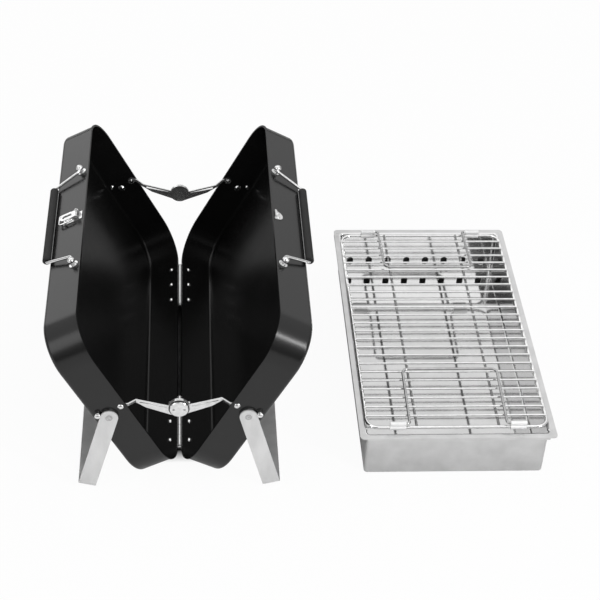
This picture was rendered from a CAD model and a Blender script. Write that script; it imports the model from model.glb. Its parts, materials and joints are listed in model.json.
# %% [markdown]
# # Folding camp grill
# A suitcase grill stands open on its strap legs, with its charcoal tray and wire grate
# set down beside it. The CAD model brings every piece at its true size and place. This
# script gives the pieces softer edges, their finishes, a studio and a camera.

# %% Load the CAD frame
import json
import math

import bpy
from mathutils import Matrix, Vector

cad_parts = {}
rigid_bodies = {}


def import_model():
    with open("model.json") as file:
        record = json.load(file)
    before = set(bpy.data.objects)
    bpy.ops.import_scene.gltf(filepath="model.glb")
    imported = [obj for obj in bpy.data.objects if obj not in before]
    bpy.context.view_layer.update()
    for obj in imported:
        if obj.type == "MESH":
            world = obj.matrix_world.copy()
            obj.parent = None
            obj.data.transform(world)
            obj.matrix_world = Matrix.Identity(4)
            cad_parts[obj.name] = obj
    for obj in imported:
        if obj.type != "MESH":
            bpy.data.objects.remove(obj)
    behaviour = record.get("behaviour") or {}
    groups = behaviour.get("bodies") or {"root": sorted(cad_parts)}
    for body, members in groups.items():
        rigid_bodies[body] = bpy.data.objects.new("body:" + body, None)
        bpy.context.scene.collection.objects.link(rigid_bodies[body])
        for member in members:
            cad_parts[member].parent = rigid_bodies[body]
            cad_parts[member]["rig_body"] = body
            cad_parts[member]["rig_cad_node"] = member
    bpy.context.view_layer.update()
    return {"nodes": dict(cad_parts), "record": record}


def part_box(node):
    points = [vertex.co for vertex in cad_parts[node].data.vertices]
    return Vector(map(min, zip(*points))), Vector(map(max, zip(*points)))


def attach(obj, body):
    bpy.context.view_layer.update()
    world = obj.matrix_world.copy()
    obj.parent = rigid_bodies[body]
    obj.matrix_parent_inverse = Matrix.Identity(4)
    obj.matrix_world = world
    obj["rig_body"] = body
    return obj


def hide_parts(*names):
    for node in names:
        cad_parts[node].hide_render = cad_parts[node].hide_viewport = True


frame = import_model()
nodes = frame["nodes"]
MM = 0.001
print("CAD nodes:", len(nodes))

# %% [markdown]
# ## Helpers for finishes
# Colours are written as sRGB hex values, as a paint chart gives them. Blender mixes light
# in linear values, so one function converts them. Another adds a shader node with its
# settings and inputs. An input is a plain value, the output of another node, or a node,
# which stands for its first output. Every material below is built this way.

# %% Colour and node helpers


def linear(hex_colour):
    channels = [int(hex_colour[i : i + 2], 16) / 255 for i in (1, 3, 5)]
    return [c / 12.92 if c <= 0.04045 else ((c + 0.055) / 1.055) ** 2.4 for c in channels] + [1]


def feed(tree, node, inputs):
    for name, value in inputs.items():
        if isinstance(value, bpy.types.Node):
            value = value.outputs[0]
        if isinstance(value, bpy.types.NodeSocket):
            tree.links.new(value, node.inputs[name])
        else:
            node.inputs[name].default_value = value


def add_node(tree, kind, inputs, **settings):
    node = tree.nodes.new(kind)
    for name, value in settings.items():
        setattr(node, name, value)
    feed(tree, node, inputs)
    return node


def new_finish(name, inputs):
    finish = bpy.data.materials.new(name)
    finish.use_nodes = True
    tree = finish.node_tree
    shader = tree.nodes["Principled BSDF"]
    feed(tree, shader, inputs)
    place = add_node(tree, "ShaderNodeTexCoord", {}).outputs["Object"]
    return finish, tree, shader, place


# %% [markdown]
# ## Black powder coat
# The case is pressed steel sheet, sprayed with black powder that is melted in an oven. It
# leaves a satin skin with a faint orange peel, about a millimetre from hill to hill. Two
# noises make it: a coarse one varies the gloss as the coat's thickness does, and a fine
# one is the peel itself. The peel is drawn at 1.4 mm so that it shows in the render. Less
# powder reaches the inside, so the coat there is thinner and drier.

# %% Powder coat

PATCH, PEEL, PEEL_DEPTH = 30 * MM, 1.4 * MM, 0.2 * MM
PEEL_STRENGTH = 0.06


def powder_coat(name, ior, gloss):
    finish, tree, shader, place = new_finish(name, {"Metallic": 0, "IOR": ior})
    patches = add_node(tree, "ShaderNodeTexNoise", {"Vector": place, "Scale": 1 / PATCH, "Detail": 3})
    tone = add_node(tree, "ShaderNodeValToRGB", {"Fac": patches})
    tone.color_ramp.elements[0].color = linear("#121212")
    tone.color_ramp.elements[1].color = linear("#181818")
    blur = add_node(tree, "ShaderNodeMapRange", {"Value": patches, "To Min": gloss[0], "To Max": gloss[1]})
    peel = add_node(tree, "ShaderNodeTexNoise", {"Vector": place, "Scale": 1 / PEEL})
    bump = add_node(tree, "ShaderNodeBump",
                    {"Height": peel, "Strength": PEEL_STRENGTH, "Distance": PEEL_DEPTH})
    feed(tree, shader, {"Base Color": tone, "Roughness": blur, "Normal": bump})
    return finish


coat = powder_coat("black_powder_coat", 1.43, (0.19, 0.24))
inside_coat = powder_coat("thin_black_powder_coat", 1.35, (0.20, 0.26))
print("coats:", coat.name, inside_coat.name)

# %% [markdown]
# ## Steel finishes
# Everything bright is steel. The legs and the tray are cold-rolled, with a dull mill finish
# that is brighter on the tray's inner side. The grate is chrome plated wire, the fittings and
# fasteners are nickel or zinc plated, and a few wires and the leg bolts are bare or oiled.
# All share one recipe and differ in colour, gloss, and in how large and how strong the
# cloudy marks are that rolling and handling leave. Scale and oxide scatter light as paint
# does, so where they cover the metal it is less than fully bare.

# %% Steel recipe

CLOUD_STOPS = (0.3, 0.7)
GRAIN, GRAIN_DEPTH = 0.8 * MM, 0.1 * MM


def steel(name, dark, pale, gloss, cloud_mm, stretch=(1, 1, 1), grain=0.03, bare=1.0):
    finish, tree, shader, place = new_finish(name, {"Metallic": bare})
    rolled = add_node(tree, "ShaderNodeMapping", {"Vector": place, "Scale": stretch})
    cloud = add_node(tree, "ShaderNodeTexNoise",
                     {"Vector": rolled, "Scale": 1 / (cloud_mm * MM), "Detail": 4})
    tone = add_node(tree, "ShaderNodeValToRGB", {"Fac": cloud})
    for stop, position, colour in zip(tone.color_ramp.elements, CLOUD_STOPS, (dark, pale)):
        stop.position = position
        stop.color = linear(colour)
    blur = add_node(tree, "ShaderNodeMapRange", {"Value": cloud, "To Min": gloss[0], "To Max": gloss[1]})
    fine = add_node(tree, "ShaderNodeTexNoise", {"Vector": rolled, "Scale": 1 / GRAIN})
    bump = add_node(tree, "ShaderNodeBump", {"Height": fine, "Strength": grain, "Distance": GRAIN_DEPTH})
    feed(tree, shader, {"Base Color": tone, "Roughness": blur, "Normal": bump})
    return finish


# %% Steel finishes

strap_steel = steel("mill_finish_strap", "#d6d6d6", "#e6e6e6", (0.52, 0.62), 14, (1, 1, 0.3), bare=0.7)
tray_outside = steel("mill_finish_tray_sheet", "#c6c6c6", "#d6d6d6", (0.26, 0.38), 22)
tray_inside = steel("bright_tray_sheet", "#cdcdcd", "#d9d9d9", (0.04, 0.08), 40, grain=0.008)
wire_chrome = steel("chrome_plated_wire", "#e2e2e2", "#efefef", (0.07, 0.14), 6, grain=0.01)
dull_wire = steel("bare_steel_wire", "#7c7c7c", "#969696", (0.20, 0.32), 6)
bail_wire = steel("plated_bail_wire", "#aeaeae", "#c0c0c0", (0.09, 0.16), 6, grain=0.01)
bright_plate = steel("nickel_plated_sheet", "#d6d6d6", "#e8e8e8", (0.14, 0.26), 5, grain=0.02, bare=0.85)
zinc = steel("zinc_plated_hinge", "#e2e2e2", "#f2f2f2", (0.12, 0.20), 4, grain=0.02, bare=0.9)
satin_plate = steel("satin_zinc_clip", "#f2f2f2", "#fafafa", (0.42, 0.52), 5, grain=0.02, bare=0.2)
bolt_steel = steel("oiled_bolt_steel", "#a6a6a6", "#c6c6c6", (0.15, 0.25), 3, grain=0.02)
fastener = steel("plated_fastener", "#d6d6d6", "#eaeaea", (0.12, 0.22), 3, grain=0.01)
print("finishes so far:", len(bpy.data.materials))

# %% [markdown]
# ## Grip foam
# The grips are sleeves of dense black foam rubber, cut from tube. The cells are a few
# tenths of a millimetre wide. They are drawn at 0.7 mm, as coarse as it takes to show.

# %% Grip foam

FOAM_CELL, FOAM_WEAR, FOAM_DEPTH = 0.7 * MM, 12 * MM, 0.15 * MM
FOAM_STRENGTH = 0.25


def grip_foam():
    look = {"Metallic": 0, "IOR": 1.45, "Roughness": 0.62}
    finish, tree, shader, place = new_finish("black_foam_rubber", look)
    cells = add_node(tree, "ShaderNodeTexVoronoi", {"Vector": place, "Scale": 1 / FOAM_CELL})
    worn = add_node(tree, "ShaderNodeTexNoise", {"Vector": place, "Scale": 1 / FOAM_WEAR})
    tone = add_node(tree, "ShaderNodeValToRGB", {"Fac": worn})
    tone.color_ramp.elements[0].color = linear("#161616")
    tone.color_ramp.elements[1].color = linear("#202020")
    bump = add_node(tree, "ShaderNodeBump",
                    {"Height": cells, "Strength": FOAM_STRENGTH, "Distance": FOAM_DEPTH})
    feed(tree, shader, {"Base Color": tone, "Normal": bump})
    return finish


foam = grip_foam()
print("grips:", foam.name)

# %% [markdown]
# ## Black nylon
# The friction washers behind the stay discs are punched from black nylon sheet. Nylon is a
# little waxy: dark, half dull, with a faint mottle from the calender rolls.

# %% Nylon

MOTTLE, MOTTLE_DEPTH = 2 * MM, 0.05 * MM
MOTTLE_STRENGTH = 0.1


def punched_nylon():
    look = {"Metallic": 0, "IOR": 1.53, "Roughness": 0.5}
    finish, tree, shader, place = new_finish("black_nylon_sheet", look)
    mottle = add_node(tree, "ShaderNodeTexNoise", {"Vector": place, "Scale": 1 / MOTTLE})
    tone = add_node(tree, "ShaderNodeValToRGB", {"Fac": mottle})
    tone.color_ramp.elements[0].color = linear("#0c0c0c")
    tone.color_ramp.elements[1].color = linear("#141414")
    bump = add_node(tree, "ShaderNodeBump",
                    {"Height": mottle, "Strength": MOTTLE_STRENGTH, "Distance": MOTTLE_DEPTH})
    feed(tree, shader, {"Base Color": tone, "Normal": bump})
    return finish


nylon = punched_nylon()
print("washers:", nylon.name)

# %% [markdown]
# ## Finishes on the CAD nodes
# Each CAD node takes the finish of the piece it is. The CAD mesh itself stays untouched,
# and only its material slot changes. The endings of the names tell the pieces apart, and
# what isn't listed is a rivet, screw, pin, nut or washer.

# %% Hand out the finishes

FINISHES = (
    (coat, ("_shell",)),
    (foam, ("_grip",)),
    (nylon, ("_stay_washer",)),
    (tray_outside, ("charcoal_tray",)),
    (dull_wire, ("grate_supports",)),
    (strap_steel, ("_leg",)),
    (zinc, ("_hinge_leaves", "hinge_pins")),
    (bail_wire, ("_bail",)),
    (wire_chrome, ("grate_border", "grate_cross_wires", "_handle_wire", "latch_loop")),
    (satin_plate, ("_bail_clips",)),
    (bolt_steel, ("_leg_bolts",)),
    (bright_plate, ("_arm", "_disc", "latch_base", "latch_lever", "strike_plate")),
)


def finish_for(name):
    for finish, endings in FINISHES:
        if name.endswith(endings):
            return finish
    return fastener


for name, piece in nodes.items():
    piece.data.materials.clear()
    piece.data.materials.append(finish_for(name))
print("small fasteners:", sum(finish_for(name) == fastener for name in nodes))

# %% [markdown]
# ## Soft edges
# No edge of real sheet metal is perfectly sharp: a sheared edge has a small burr radius,
# and a coat of powder rounds it further. Those thin radii catch the light, and they are
# what makes metal look real. For each sheet piece a copy of the CAD mesh is merged, its
# flat facets are joined, and its sharp edges get a small bevel. The copy then stands for
# the node.

# %% Soft-edged copies

SHARP, FLAT = math.radians(35), math.radians(0.4)
MERGE = 0.002 * MM
ROUND_STEPS = 2
body_of = {n: b for b, members in frame["record"]["behaviour"]["bodies"].items() for n in members}


def only(piece):
    bpy.ops.object.select_all(action="DESELECT")
    piece.select_set(True)
    bpy.context.view_layer.objects.active = piece


def apply_all(piece):
    only(piece)
    for modifier in list(piece.modifiers):
        bpy.ops.object.modifier_apply(modifier=modifier.name)


def stands_for(piece, node):
    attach(piece, body_of[node])
    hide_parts(node)


def merged_copy(node):
    only(nodes[node])
    bpy.ops.object.duplicate()
    piece = bpy.context.active_object
    piece.parent = None
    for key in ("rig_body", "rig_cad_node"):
        if key in piece:
            del piece[key]
    piece.name = node + "_soft"
    piece.data.name = piece.name
    bpy.ops.object.mode_set(mode="EDIT")
    bpy.ops.mesh.select_all(action="SELECT")
    bpy.ops.mesh.remove_doubles(threshold=MERGE)
    bpy.ops.mesh.dissolve_limited(angle_limit=FLAT)
    bpy.ops.mesh.customdata_custom_splitnormals_clear()
    return piece


def soft_copy(node, width_mm, shape=None):
    piece = merged_copy(node)
    if shape:
        shape(piece)
    bpy.ops.object.mode_set(mode="OBJECT")
    round_off = piece.modifiers.new("round_off", "BEVEL")
    round_off.limit_method = "ANGLE"
    round_off.angle_limit = SHARP
    round_off.width = width_mm * MM
    round_off.segments = ROUND_STEPS
    round_off.use_clamp_overlap = True
    apply_all(piece)
    bpy.ops.object.shade_smooth_by_angle(angle=SHARP)
    level = piece.modifiers.new("level_flats", "WEIGHTED_NORMAL")
    level.keep_sharp = True
    apply_all(piece)
    stands_for(piece, node)
    return piece


# %% Sheet pieces

SOFT = {
    "left_shell": 0.5, "right_shell": 0.5, "left_leg": 0.4, "right_leg": 0.4,
    "latch_base": 0.2, "latch_lever": 0.2, "strike_plate": 0.2,
    "near_bail_clips": 0.2, "far_bail_clips": 0.2,
    "near_stay_left_arm": 0.25, "near_stay_right_arm": 0.25,
    "far_stay_left_arm": 0.25, "far_stay_right_arm": 0.25,
}
soft = {node: soft_copy(node, width) for node, width in SOFT.items()}
for node, piece in soft.items():
    print(node, "faces:", len(piece.data.polygons))

# %% [markdown]
# ## Inside of the shells
# The thinner coat goes on the faces that look towards the hollow. A face's normal and the
# direction from it to the middle of the shell's box tell that, with no face picked by hand.

# %% Inside of the shells

for side in ("left", "right"):
    shell = soft[side + "_shell"]
    shell.data.materials.append(inside_coat)
    low, high = (Vector(corner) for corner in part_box(side + "_shell"))
    hollow = (low + high) / 2
    for face in shell.data.polygons:
        face.material_index = int((hollow - face.center).dot(face.normal) > 0)
    print(shell.name, "inner faces:", sum(face.material_index for face in shell.data.polygons))

# %% [markdown]
# ## Tray
# The tray is folded from sheet that is bright on one side. The bright side is inside, where
# it mirrors the grate. The rim isn't folded sharp: it is rolled out over a rod, and that
# small round bend shows as a darker line round the opening, because it mirrors the dark
# end of the studio. On the copy of the tray, the edges of the bend are picked by where they
# lie, the upper ones and the lower ones, and bevelled to two radii one sheet apart. The
# inner faces are then picked by where they lie and which way they face, for the bright finish.

# %% Tray

RIM, SHEET, RIM_BEND = 8.5 * MM, 1 * MM, 4 * MM
RIM_STEPS, RIM_SOFT_MM = 8, 0.25
HAIR = 0.05 * MM
tray_low, tray_high = (Vector(corner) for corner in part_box("charcoal_tray"))
tray_middle = (tray_low + tray_high) / 2
mouth = (tray_high - tray_middle).to_2d() - Vector((RIM, RIM))


def pick(piece, kind, wanted):
    bpy.ops.object.mode_set(mode="OBJECT")
    for group in (piece.data.vertices, piece.data.edges, piece.data.polygons):
        for element in group:
            element.select = False
    for element in getattr(piece.data, kind):
        element.select = wanted(element)
    bpy.ops.object.mode_set(mode="EDIT")


def roll_rim(piece):
    bpy.ops.mesh.select_mode(type="EDGE")
    for depth, radius in ((0, RIM_BEND), (SHEET, RIM_BEND - SHEET)):

        def on_bend(edge):
            ends = [piece.data.vertices[i].co for i in edge.vertices]
            return all(abs(end.z - tray_high.z + depth) < HAIR
                       and abs(end.x - tray_middle.x) < mouth.x + depth + HAIR
                       and abs(end.y - tray_middle.y) < mouth.y + depth + HAIR for end in ends)

        pick(piece, "edges", on_bend)
        bpy.ops.mesh.bevel(offset=radius, segments=RIM_STEPS, affect="EDGES", clamp_overlap=False)


tray = soft_copy("charcoal_tray", RIM_SOFT_MM, shape=roll_rim)
print("tray faces:", len(tray.data.polygons))

# %% Inside of the tray

WALL_SHARE, FLOOR_SHARE = 0.15, 0.3


def is_lined(face):
    inwards = (tray_middle - face.center).to_2d()
    within = all(abs(inwards[i]) < mouth[i] + RIM_BEND for i in (0, 1))
    faces_in = face.normal.to_2d().dot(inwards.normalized()) > WALL_SHARE
    on_floor = face.normal.z > FLOOR_SHARE and face.center.z < tray_middle.z
    return within and face.normal.z > -FLOOR_SHARE and (on_floor or faces_in)


tray.data.materials.append(tray_inside)
for face in tray.data.polygons:
    face.material_index = int(is_lined(face))
print("lined faces:", sum(face.material_index for face in tray.data.polygons))

# %% [markdown]
# ## Handle wires
# Each handle is one wire with four bends. A curve with a bevel would sweep it too. Here a
# round section is extruded along each straight and spun at each bend, as wire is fed and
# turned in a bending jig, and that gives true round bends. The section starts in one ball of
# the posts and ends in the other. The swing joint gives one axis of the wire and the grip
# gives the other.

# %% Wire bending

WIRE_SIDES, BEND_STEPS = 24, 8
JOIN = 0.001 * MM


def push(step):
    bpy.ops.mesh.extrude_region_move(TRANSFORM_OT_translate={"value": step})


def closed(piece):
    bpy.ops.mesh.select_all(action="SELECT")
    bpy.ops.mesh.remove_doubles(threshold=JOIN)
    bpy.ops.mesh.normals_make_consistent(inside=False)
    bpy.ops.object.mode_set(mode="OBJECT")
    bpy.ops.object.shade_smooth_by_angle(angle=SHARP)


def bent_wire(name, corners, radius, bend):
    heading = (corners[1] - corners[0]).normalized()
    bpy.ops.object.select_all(action="DESELECT")
    bpy.ops.mesh.primitive_circle_add(vertices=WIRE_SIDES, radius=radius, fill_type="NGON",
                                      location=corners[0],
                                      rotation=heading.to_track_quat("Z", "Y").to_euler())
    piece = bpy.context.active_object
    piece.name = name
    bpy.ops.object.transform_apply(location=True, rotation=True, scale=True)
    bpy.ops.object.mode_set(mode="EDIT")
    bpy.ops.mesh.select_all(action="SELECT")
    here = corners[0]
    for before, corner, after in zip(corners, corners[1:], corners[2:]):
        along, onward = (corner - before).normalized(), (after - corner).normalized()
        turn = along.angle(onward)
        setback = bend * math.tan(turn / 2)
        start = corner - along * setback
        push(start - here)
        axis = along.cross(onward).normalized()
        bpy.ops.mesh.spin(steps=BEND_STEPS, angle=-turn, center=start + axis.cross(along) * bend, axis=axis)
        here = corner + onward * setback
    push(corners[-1] - here)
    closed(piece)
    return piece


# %% Handle wires

WIRE_R, WIRE_BEND = 1.65 * MM, 3.5 * MM
WIRE_TURN_Y = 82.4 * MM
PAST_GRIP = 2.5 * MM
joints = frame["record"]["behaviour"]["joints"]
joint_at = {j["name"]: Vector(j["pos_m"]) for j in joints if "pos_m" in j}

for side in ("left", "right"):
    pivot = joint_at[side + "_handle_swing"]
    low, high = (Vector(corner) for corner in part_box(side + "_handle_grip"))
    grip = (low + high) / 2
    end_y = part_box(side + "_handle_wire")[1][1]
    half = [(pivot, end_y), (pivot, WIRE_TURN_Y), (grip, high.y + PAST_GRIP)]
    path = [Vector((at.x, y, at.z)) for at, y in half]
    path += [Vector((at.x, -y, at.z)) for at, y in reversed(half)]
    wire = bent_wire(side + "_bent_wire", path, WIRE_R, WIRE_BEND)
    wire.data.materials.append(wire_chrome)
    stands_for(wire, side + "_handle_wire")
    print(wire.name, "faces:", len(wire.data.polygons))

# %% [markdown]
# ## Latch loop
# The latch's wire loop is bent from thinner wire. Its two ends meet in the lever, in the
# middle of the bar that the loop turns on. The bar lies at the loop's upper right and the far
# side at its lower left, because the handle wall slopes that way.

# %% Latch loop

LOOP_R, LOOP_BEND = 0.9 * MM, 2.4 * MM
low, high = (Vector(corner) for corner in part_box("latch_loop"))
bar = Vector((high.x - LOOP_R, 0, high.z - LOOP_R))
far_side = Vector((low.x + LOOP_R, 0, low.z + LOOP_R))
half_width = Vector((0, high.y - LOOP_R, 0))
path = [bar, bar + half_width, far_side + half_width, far_side - half_width, bar - half_width, bar]
loop = bent_wire("latch_bent_loop", path, LOOP_R, LOOP_BEND)
loop.data.materials.append(wire_chrome)
stands_for(loop, "latch_loop")
print(loop.name, "faces:", len(loop.data.polygons))

# %% [markdown]
# ## Grip sleeves
# A length of foam tube is pushed over the wire. Its cut ends are a little rounded and show
# the bore with the wire in it. A cylinder gives the tube: each end face is inset to the
# bore's edge and sunk, and the outer rim is bevelled. The radius is a hair under the CAD
# grip's, whose facets lie inside its true circle.

# %% Grip sleeves

SLEEVE_BORE_R, SLEEVE_SINK, SLEEVE_ROUND = 2.0 * MM, 4 * MM, 1.1 * MM
SLEEVE_UNDER, BORE_TAPER = 0.06 * MM, 0.02 * MM
SLEEVE_SIDES, SLEEVE_STEPS = 48, 5
ON_END, NEAR_RIM = 0.01 * MM, 0.99
END_FACING = 0.9


def grip_sleeve(node):
    low, high = (Vector(corner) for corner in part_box(node))
    centre, length = (low + high) / 2, high.y - low.y
    radius = (high.x - low.x) / 2 - SLEEVE_UNDER
    bpy.ops.object.select_all(action="DESELECT")
    bpy.ops.mesh.primitive_cylinder_add(vertices=SLEEVE_SIDES, radius=radius, depth=length,
                                        location=centre, rotation=(math.pi / 2, 0, 0))
    sleeve = bpy.context.active_object
    sleeve.name = node + "_sleeve"
    bpy.ops.object.transform_apply(location=True, rotation=True, scale=True)
    bpy.ops.object.mode_set(mode="EDIT")
    bpy.ops.mesh.select_mode(type="FACE")
    pick(sleeve, "polygons", lambda face: abs(face.normal.y) > END_FACING)
    bpy.ops.mesh.inset(thickness=radius - SLEEVE_BORE_R)
    bpy.ops.mesh.inset(thickness=BORE_TAPER, depth=-SLEEVE_SINK)
    bpy.ops.mesh.select_mode(type="EDGE")

    def on_rim(edge):
        ends = [sleeve.data.vertices[i].co - centre for i in edge.vertices]
        return all(abs(abs(end.y) - length / 2) < ON_END
                   and math.hypot(end.x, end.z) > radius * NEAR_RIM for end in ends)

    pick(sleeve, "edges", on_rim)
    bpy.ops.mesh.bevel(offset=SLEEVE_ROUND, segments=SLEEVE_STEPS, affect="EDGES")
    closed(sleeve)
    return sleeve


for side in ("left", "right"):
    sleeve = grip_sleeve(side + "_handle_grip")
    sleeve.data.materials.append(foam)
    stands_for(sleeve, side + "_handle_grip")
    print(sleeve.name, "faces:", len(sleeve.data.polygons))

# %% [markdown]
# ## Keeper wires
# A thin wire lies along the inner side of each sleeve. It shows as a fine line beside the
# grip. It is straight, so the bending function makes it from two points.

# %% Keeper wires

KEEPER_R, KEEPER_SHORT = 0.8 * MM, 3 * MM
for side, inner in (("left", 1), ("right", 0)):
    corners = [Vector(corner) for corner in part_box(side + "_handle_grip")]
    middle_z = (corners[0].z + corners[1].z) / 2
    end = Vector((corners[inner].x, corners[1].y - KEEPER_SHORT, middle_z))
    keeper = bent_wire(side + "_grip_keeper", [end, end * Vector((1, -1, 1))], KEEPER_R, 0)
    keeper.data.materials.append(dull_wire)
    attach(keeper, body_of[side + "_handle_grip"])
    print(keeper.name, "faces:", len(keeper.data.polygons))

# %% [markdown]
# ## Weld marks
# The cross wires are resistance welded to the border and to the two long wires. Each joint
# squeezes out a small bead of steel. One bead is modelled, a ball pressed flat, and copied to
# every crossing. The tray's folded corners are spot welded, and each spot leaves a shallow
# button: a disc with an inset top, pressed out a tenth of a millimetre.

# %% Copies of one model


def joined(pieces, name):
    bpy.ops.object.select_all(action="DESELECT")
    for piece in pieces:
        piece.select_set(True)
    bpy.context.view_layer.objects.active = pieces[0]
    bpy.ops.object.join()
    whole = bpy.context.active_object
    whole.name = name
    bpy.ops.object.transform_apply(location=True, rotation=True, scale=True)
    return whole


def copies(model, places):
    made = []
    for place in places:
        only(model)
        bpy.ops.object.duplicate()
        bpy.context.active_object.location = place
        made.append(bpy.context.active_object)
    bpy.data.objects.remove(model)
    return made


# %% Weld beads

CROSS_COUNT = 23
BEAD_HALF = Vector((1.7, 1.9, 0.75)) * MM
BEAD_FINENESS = 2
cross_low, cross_high = (Vector(corner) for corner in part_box("grate_cross_wires"))
cross_r = (cross_high.z - cross_low.z) / 2
first_y, last_y = cross_low.y + cross_r, cross_high.y - cross_r
rows = [first_y + (last_y - first_y) * k / (CROSS_COUNT - 1) for k in range(CROSS_COUNT)]
columns = []
for node in ("grate_border", "grate_supports"):
    low, high = (Vector(corner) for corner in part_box(node))
    wire_r = (high.z - low.z) / 2
    columns += [low.x + wire_r, high.x - wire_r]

bpy.ops.object.select_all(action="DESELECT")
bpy.ops.mesh.primitive_ico_sphere_add(subdivisions=BEAD_FINENESS, radius=1.0)
bead = bpy.context.active_object
bpy.ops.object.mode_set(mode="EDIT")
bpy.ops.mesh.select_all(action="SELECT")
bpy.ops.transform.resize(value=BEAD_HALF)
bpy.ops.object.mode_set(mode="OBJECT")
bpy.ops.object.shade_smooth()
beads = joined(copies(bead, [(x, y, cross_low.z) for x in columns for y in rows]), "grate_weld_beads")
beads.data.materials.append(wire_chrome)
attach(beads, body_of["grate_cross_wires"])
print(beads.name, "faces:", len(beads.data.polygons))

# %% Spot welds on the tray

SPOT_R, SPOT_H, SPOT_SIDES = 1.4 * MM, 0.12 * MM, 20
SPOT_STEP = 0.3 * SPOT_R
SPOT_SWELL, SPOT_DENT = 0.4 * SPOT_H, 0.5 * SPOT_H
SPOT_IN, SPOT_ALONG = 4.2 * MM, (7 * MM, 13 * MM)
bpy.ops.object.select_all(action="DESELECT")
bpy.ops.mesh.primitive_circle_add(vertices=SPOT_SIDES, radius=SPOT_R, fill_type="NGON")
spot = bpy.context.active_object
bpy.ops.object.mode_set(mode="EDIT")
bpy.ops.mesh.select_all(action="SELECT")
push((0, 0, SPOT_H))
bpy.ops.mesh.inset(thickness=SPOT_STEP, depth=SPOT_SWELL)
bpy.ops.mesh.inset(thickness=SPOT_STEP, depth=-SPOT_DENT)
closed(spot)
places = [(x, y, tray_high.z)
          for x in (tray_low.x + SPOT_IN, tray_high.x - SPOT_IN)
          for along in SPOT_ALONG for y in (tray_low.y + along, tray_high.y - along)]
spots = joined(copies(spot, places), "tray_spot_welds")
spots.data.materials.append(tray_outside)
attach(spots, body_of["charcoal_tray"])
print(spots.name, "faces:", len(spots.data.polygons))

# %% [markdown]
# ## Camera
# The photograph looks down from the front at a long lens, a little from the left. The angles,
# the place and the lens come from a camera fitted to the corners of the case and of the tray.
# The side shift moves the picture's frame and leaves the view as it is, as a crop would.

# %% Camera

LOOK_DOWN, LOOK_RIGHT, ROLL = (math.radians(a) for a in (38.856, 4.026, 2.355))
CAMERA_AT = (-0.1273, -1.4209, 1.2397)
FOCAL_PX, IMAGE_PX = 1523.7, 600
SENSOR_MM = 36
SIDE_SHIFT = 0.05

forward = Vector((
    math.sin(LOOK_RIGHT) * math.cos(LOOK_DOWN),
    math.cos(LOOK_RIGHT) * math.cos(LOOK_DOWN),
    -math.sin(LOOK_DOWN),
))
level = Vector((math.cos(LOOK_RIGHT), -math.sin(LOOK_RIGHT), 0))
upward = level.cross(forward)
across = math.cos(ROLL) * level + math.sin(ROLL) * upward
upright = math.cos(ROLL) * upward - math.sin(ROLL) * level
turned = Matrix((across, upright, -forward)).transposed().to_4x4()
bpy.ops.object.camera_add()
camera = bpy.context.active_object
camera.matrix_world = Matrix.Translation(CAMERA_AT) @ turned
camera.data.sensor_width = SENSOR_MM
camera.data.lens = SENSOR_MM * FOCAL_PX / IMAGE_PX
camera.data.shift_x = SIDE_SHIFT
bpy.context.scene.camera = camera
print("lens:", round(camera.data.lens, 1), "mm")

# %% [markdown]
# ## Floor
# The photograph was taken on a white sweep with soft light from above and behind, so that
# the dark coat shows by what it mirrors: the floor in its end walls and the back of the
# studio in its upper walls. The floor is a white sheet that keeps a faint shadow. The
# camera sees it white, and so do the metal faces that look down at the floor in front. Behind
# the case it is dimmer for mirrored light. A narrow strip under the hinge lies in deep shadow
# where the case hides most of the sky.

# %% Floor finish

FRONT_Y, FRONT_FADE = -0.21, 60 * MM
HINGE_X = sum(corner[0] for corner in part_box("hinge_pins")) / 2
HINGE_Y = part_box("hinge_pins")[1][1]
HINGE_STRIP, HINGE_FADE = (16 * MM, HINGE_Y - 10 * MM), 20 * MM
SKY_REACH, SKY_OPEN, SKY_SHUT = 60 * MM, 0.4, 0.25
BEHIND_AT, BEHIND_HALF, BEHIND_FADE = (HINGE_X, 0.6), (0.35, 0.36), 30 * MM
SEEN_WHITE, MIRRORED_WHITE, BEHIND_DIM = 0.95, 0.78, 0.6


def strip(tree, axes, centre, reach, fade):
    sides = []
    for axis, middle, half in zip("XY", centre, reach):
        offset = add_node(tree, "ShaderNodeMath", {0: axes.outputs[axis], 1: middle}, operation="SUBTRACT")
        distance = add_node(tree, "ShaderNodeMath", {0: offset}, operation="ABSOLUTE")
        side = {"Value": distance, "From Min": half + fade, "From Max": half}
        sides.append(add_node(tree, "ShaderNodeMapRange", side))
    return add_node(tree, "ShaderNodeMath", {0: sides[0], 1: sides[1]}, operation="MULTIPLY")


def hinge_shadow(tree, axes):
    sky = add_node(tree, "ShaderNodeAmbientOcclusion", {"Distance": SKY_REACH}, samples=16)
    hidden = {"Value": sky.outputs["AO"], "From Min": SKY_OPEN, "From Max": SKY_SHUT}
    covered = add_node(tree, "ShaderNodeMapRange", hidden)
    under_hinge = strip(tree, axes, (HINGE_X, 0), HINGE_STRIP, HINGE_FADE)
    return add_node(tree, "ShaderNodeMath", {0: covered, 1: under_hinge}, operation="MULTIPLY")


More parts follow.
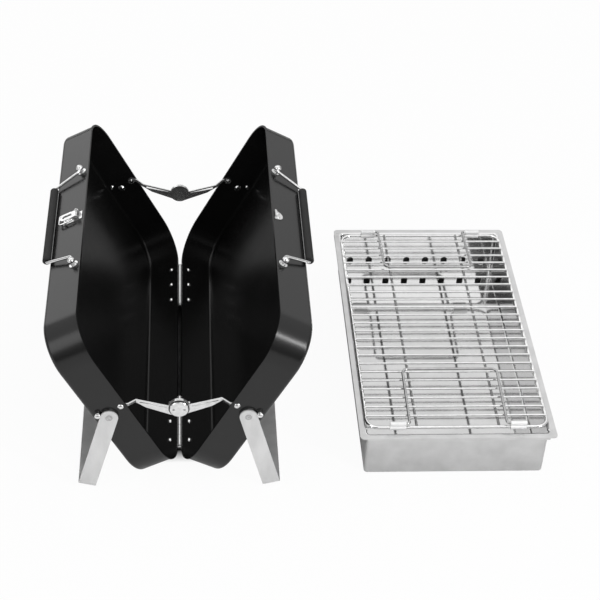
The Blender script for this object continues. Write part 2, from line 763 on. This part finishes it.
def white_sheet():
    finish, tree, shader, place = new_finish("white_sweep_paper", {"Roughness": 0.9})
    axes = add_node(tree, "ShaderNodeSeparateXYZ", {0: place})
    shade = hinge_shadow(tree, axes)
    tone = add_node(tree, "ShaderNodeValToRGB", {"Fac": shade})
    tone.color_ramp.elements[0].color = linear("#f2f2f2")
    tone.color_ramp.elements[1].color = linear("#3a3a3a")
    feed(tree, shader, {"Base Color": tone})

    path = add_node(tree, "ShaderNodeLightPath", {})
    seen, mirrored = path.outputs["Is Camera Ray"], path.outputs["Is Glossy Ray"]
    lit = add_node(tree, "ShaderNodeMapRange", {"Value": shade, "To Min": SEEN_WHITE, "To Max": 0})
    front = {"Value": axes.outputs["Y"], "From Min": FRONT_Y, "From Max": FRONT_Y - FRONT_FADE}
    in_front = add_node(tree, "ShaderNodeMapRange", {**front, "To Max": MIRRORED_WHITE})
    direct = add_node(tree, "ShaderNodeMath", {0: seen, 1: lit}, operation="MULTIPLY")
    glossy = add_node(tree, "ShaderNodeMath", {0: mirrored, 1: in_front}, operation="MULTIPLY")
    share = add_node(tree, "ShaderNodeMath", {0: direct, 1: glossy}, operation="MAXIMUM")
    glow = add_node(tree, "ShaderNodeEmission", {"Color": (1, 1, 1, 1)})
    paper = add_node(tree, "ShaderNodeMixShader", {0: share, 1: shader, 2: glow})

    behind = strip(tree, axes, BEHIND_AT, BEHIND_HALF, BEHIND_FADE)
    weaker = add_node(tree, "ShaderNodeMapRange", {"Value": behind, "To Max": BEHIND_DIM})
    dim = add_node(tree, "ShaderNodeMath", {0: mirrored, 1: weaker}, operation="MULTIPLY")
    dark = add_node(tree, "ShaderNodeEmission", {"Strength": 0})
    dimmed = add_node(tree, "ShaderNodeMixShader", {0: dim, 1: paper, 2: dark})
    feed(tree, tree.nodes["Material Output"], {"Surface": dimmed})
    return finish


# %% Floor

FLOOR_SIZE, FLOOR_DROP = 12, 0.5 * MM
bpy.ops.object.select_all(action="DESELECT")
bpy.ops.mesh.primitive_plane_add(size=FLOOR_SIZE, location=(0, 0, -FLOOR_DROP))
floor = bpy.context.active_object
floor.name = "studio_floor"
floor.data.materials.append(white_sheet())
print("stage piece:", floor.name)

# %% [markdown]
# ## Black card
# The tray's slots are black in the photo, and so is their mirror image in its floor. A strip of
# black card stands close behind the far wall for that. It is seen only where the wall shuts off
# its sky, so it is gone when the tray is lifted and from behind. Rays too short to come through
# a slot pass it, so the wall's own back doesn't mirror it.

# %% Black card

CARD_BEHIND, CARD_INSET = 8 * MM, 5 * MM
CARD_LOW, CARD_HIGH = 4 * MM, 34 * MM
CARD_REACH, CARD_SHUT, CARD_OPEN = 40 * MM, 0.40, 0.50
SHORT_RAY = 20 * MM


def black_card():
    finish, tree, shader, _ = new_finish("black_card", {"Roughness": 0.9, "Base Color": linear("#202020")})
    sky = add_node(tree, "ShaderNodeAmbientOcclusion", {"Distance": CARD_REACH}, samples=24)
    open_sky = {"Value": sky.outputs["AO"], "From Min": CARD_SHUT, "From Max": CARD_OPEN}
    in_the_open = add_node(tree, "ShaderNodeMapRange", open_sky)
    length = add_node(tree, "ShaderNodeLightPath", {}).outputs["Ray Length"]
    too_short = add_node(tree, "ShaderNodeMath", {0: length, 1: SHORT_RAY}, operation="LESS_THAN")
    unseen = add_node(tree, "ShaderNodeMath", {0: in_the_open, 1: too_short}, operation="MAXIMUM")
    clear = add_node(tree, "ShaderNodeBsdfTransparent", {})
    mix = add_node(tree, "ShaderNodeMixShader", {0: unseen, 1: shader, 2: clear})
    feed(tree, tree.nodes["Material Output"], {"Surface": mix})
    return finish


card_at = (tray_middle.x, tray_high.y - RIM + CARD_BEHIND, (CARD_LOW + CARD_HIGH) / 2)
bpy.ops.object.select_all(action="DESELECT")
bpy.ops.mesh.primitive_plane_add(size=1, location=card_at, rotation=(math.pi / 2, 0, 0))
card = bpy.context.active_object
card.name = "black_card"
card.scale = (2 * (mouth.x - CARD_INSET), CARD_HIGH - CARD_LOW, 1)
bpy.ops.object.transform_apply(location=True, rotation=True, scale=True)
card.data.materials.append(black_card())
card.visible_diffuse = card.visible_shadow = False
print("stage piece:", card.name)

# %% [markdown]
# ## World
# The camera sees a white backdrop all round. What the metal mirrors is a studio: white above
# and behind, greyer towards the horizon, and dark in front, where the photographer stands.
# That dark patch draws the dark lines along the wires.

# %% World

PHOTOGRAPHER = Vector((0, -math.cos(LOOK_DOWN), math.sin(LOOK_DOWN)))
DARK_CORE, DARK_EDGE, DARK_LEVEL = 0.97, 0.80, 0.12
BRIGHT_FROM, HORIZON_LEVEL = 0.6, 0.04
AMBIENT = 0.5


def studio_world():
    world = bpy.data.worlds.new("studio")
    bpy.context.scene.world = world
    world.use_nodes = True
    tree = world.node_tree
    way = add_node(tree, "ShaderNodeTexCoord", {}).outputs["Generated"]
    height = add_node(tree, "ShaderNodeSeparateXYZ", {0: way}).outputs["Z"]
    facing = add_node(tree, "ShaderNodeVectorMath", {0: way, 1: PHOTOGRAPHER}, operation="DOT_PRODUCT")
    dark_patch = {"Value": facing.outputs["Value"], "From Min": DARK_CORE, "From Max": DARK_EDGE}
    beside = add_node(tree, "ShaderNodeMapRange", {**dark_patch, "To Min": DARK_LEVEL})
    upwards = add_node(tree, "ShaderNodeMapRange",
                       {"Value": height, "From Max": BRIGHT_FROM, "To Min": HORIZON_LEVEL})
    studio = add_node(tree, "ShaderNodeMath", {0: beside, 1: upwards}, operation="MULTIPLY")
    path = add_node(tree, "ShaderNodeLightPath", {})
    seen, mirrored = path.outputs["Is Camera Ray"], path.outputs["Is Glossy Ray"]
    light = add_node(tree, "ShaderNodeMapRange", {"Value": mirrored, "To Min": AMBIENT, "To Max": studio})
    strength = add_node(tree, "ShaderNodeMath", {0: light, 1: seen}, operation="MAXIMUM")
    feed(tree, tree.nodes["Background"], {"Color": (1, 1, 1, 1), "Strength": strength})
    return world


print("world:", studio_world().name)

# %% [markdown]
# ## Lamps
# Two soft boxes stand behind the case, where its upper walls mirror them, one hangs above and
# one lights the front. Two more at the sides draw the pale streaks on the rounded corners.
# Each has a place, a point to aim at, a width, a height and a power, in metres and watts.

# %% Lamps


def soft_box(name, place, target, width, height, power):
    bpy.ops.object.light_add(type="AREA", location=place)
    lamp = bpy.context.active_object
    lamp.name = name
    lamp.rotation_euler = (Vector(target) - Vector(place)).to_track_quat("-Z", "Y").to_euler()
    lamp.data.shape = "RECTANGLE"
    lamp.data.size, lamp.data.size_y = width, height
    lamp.data.energy = power
    lamp.visible_camera = False


soft_box("back_left_box", (-1.5, 1.9, 0.95), (-0.1, 0, 0.1), 1.4, 1.2, 6)
soft_box("back_right_box", (1.35, 1.9, 0.95), (0, 0, 0.1), 1.4, 1.2, 2.2)
soft_box("top_box", (0, 0.1, 2.2), (0, 0, 0), 2.6, 2.2, 7)
soft_box("front_box", (0.4, -2.2, 1.6), (0, 0, 0.1), 1.2, 0.9, 6)
soft_box("right_corner_strip", (1.38, -1.25, 1.16), (0.08, -0.19, 0.1), 0.16, 1.2, 14)
soft_box("left_corner_strip", (-1.66, -1.25, 1.16), (-0.36, -0.19, 0.1), 0.9, 1.2, 6)
print("lamps:", len(bpy.data.lights))

# %% [markdown]
# ## Sizes and hand-over
# The view transform is Standard, so that white paper stays white. The boxes of the CAD model
# and of the finished model are written down side by side, and the frame takes over.

# %% Look of the picture, sizes and hand-over
bpy.context.scene.view_settings.view_transform = "Standard"
